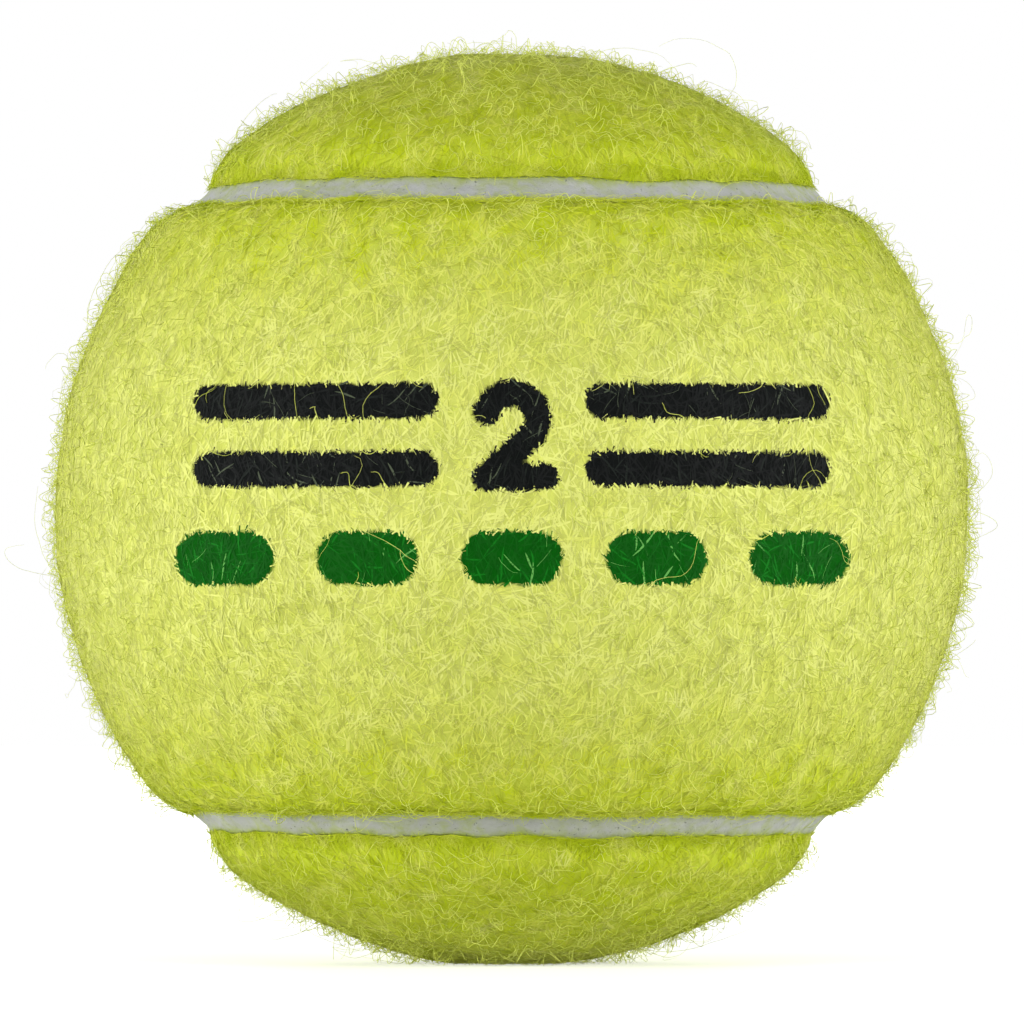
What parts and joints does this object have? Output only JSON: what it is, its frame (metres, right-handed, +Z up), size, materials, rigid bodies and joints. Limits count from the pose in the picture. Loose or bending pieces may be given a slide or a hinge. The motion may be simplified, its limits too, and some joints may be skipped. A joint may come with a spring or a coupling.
{
  "type": "tennis ball",
  "caption": "Pressurised tennis ball: hollow rubber core glued from two halves, under two interlocking felt panels with a recessed cement seam.",
  "frame": {"origin": "centre of the ball", "axes": "+Z up as in the picture, -Y out through the waist of the front felt panel, +X to the right of that view; Y is the cover's symmetry axis"},
  "size_m": [0.0668, 0.0668, 0.0665],
  "materials": {
    "felt": "optic yellow raised nap",
    "seam_cement": "matte pale grey",
    "core_rubber": "matte moulded",
    "joint_cement": "cured cement",
    "rubber_cement": "cured film"
  },
  "bodies": {
    "root": {"core_half_upper": "core_rubber", "core_half_lower": "core_rubber", "core_joint_cement": "joint_cement", "core_cement_coat": "rubber_cement", "panel_cement_front": "rubber_cement", "panel_cement_back": "rubber_cement", "felt_panel_front": "felt", "felt_panel_back": "felt", "seam_cement_strip": "seam_cement"}
  },
  "joints": []
}
